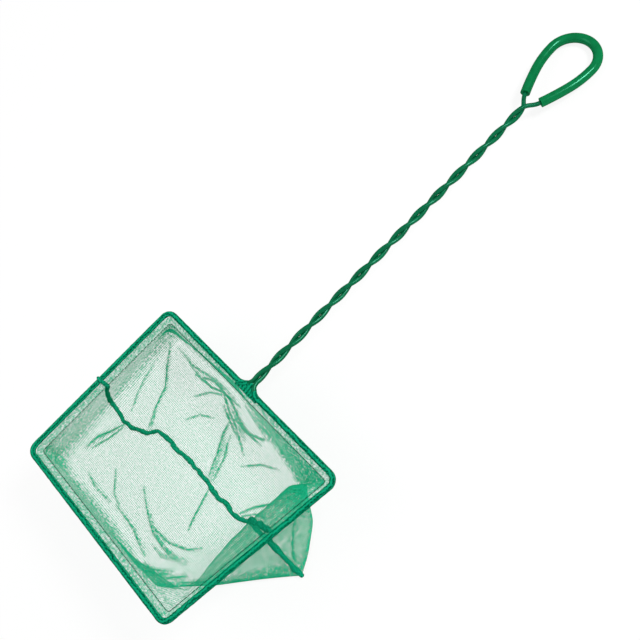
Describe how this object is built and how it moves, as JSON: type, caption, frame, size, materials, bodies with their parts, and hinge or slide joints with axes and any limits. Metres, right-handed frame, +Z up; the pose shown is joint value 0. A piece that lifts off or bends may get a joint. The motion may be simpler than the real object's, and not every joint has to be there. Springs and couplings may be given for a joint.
{
  "type": "aquarium fish net",
  "caption": "Hand net for moving aquarium fish: a coated wire hoop with a sewn mesh bag, a twisted wire handle and a sleeved hanging loop.",
  "frame": {"origin": "on the table, at the middle of the net's footprint", "axes": "+Y along the handle from the hoop to the hanging loop, +X along the hoop's handle side to the right, +Z up out of the mouth"},
  "size_m": [0.1595, 0.402, 0.0569],
  "materials": {
    "steel": "drawn mild steel wire",
    "wire_coating": "dark green PVC coat, glossy",
    "grip_vinyl": "green vinyl sleeve, glossy",
    "hem_net": "folded green nylon net",
    "thread": "green sewing thread",
    "net": "fine green nylon net, see-through",
    "seam": "overlocked net edges"
  },
  "bodies": {
    "frame": {"steel_wire": "steel", "hoop_coating": "wire_coating", "handle_strand_left": "wire_coating", "handle_strand_right": "wire_coating", "loop_coating_left": "wire_coating", "loop_coating_right": "wire_coating", "grip_sleeve": "grip_vinyl", "hem_handle_left": "hem_net", "hem_left_end": "hem_net", "hem_far_side": "hem_net", "hem_right_end": "hem_net", "hem_handle_right": "hem_net", "hem_thread": "thread"},
    "bag": {"net_panel_handle_side": "net", "net_panel_far_side": "net", "left_end_seam": "seam", "bottom_seam": "seam", "right_end_seam": "seam"}
  },
  "joints": [
    {"name": "bag_lift", "type": "slide", "parent": "frame", "child": "bag", "axis": [0, 0, 1], "range_m": [0, 0.024], "deforming": ["net_panel_handle_side", "net_panel_far_side", "left_end_seam", "right_end_seam"]}
  ]
}
